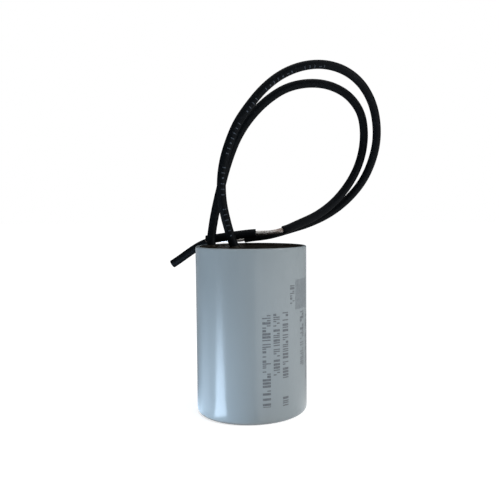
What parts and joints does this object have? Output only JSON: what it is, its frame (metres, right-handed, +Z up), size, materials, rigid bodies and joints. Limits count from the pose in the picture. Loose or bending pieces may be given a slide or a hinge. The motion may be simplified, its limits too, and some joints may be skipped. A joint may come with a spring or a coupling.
{
  "type": "motor run capacitor",
  "caption": "Round plastic-cased film capacitor, filled with dark resin, with two black flying leads looped over its open end.",
  "frame": {"origin": "centre of the case's flat underside", "axes": "+Z up the case's axis to its open, resin-filled end; +X towards the side that the lead loops lean to; -Y is the front"},
  "size_m": [0.083, 0.046, 0.1265],
  "materials": {
    "case_plastic": "light grey moulded plastic, semi-gloss",
    "potting_resin": "dark brown filled resin, semi-gloss, uneven",
    "film": "metallised polypropylene film, wound",
    "core_plastic": "natural plastic tube",
    "sprayed_metal": "arc-sprayed zinc, matte and rough",
    "solder": "tin solder",
    "lead_jacket": "black PVC, semi-gloss",
    "strands": "tinned copper strands"
  },
  "bodies": {
    "root": {"case": "case_plastic", "potting": "potting_resin", "winding": "film", "winding_core": "core_plastic", "end_spray_top": "sprayed_metal", "end_spray_bottom": "sprayed_metal", "solder_top": "solder", "solder_bottom": "solder", "lead_1_jacket": "lead_jacket", "lead_1_strands": "strands", "lead_1_end_sleeve": "lead_jacket", "lead_2_jacket": "lead_jacket", "lead_2_strands": "strands", "lead_2_end_sleeve": "lead_jacket"}
  },
  "joints": []
}
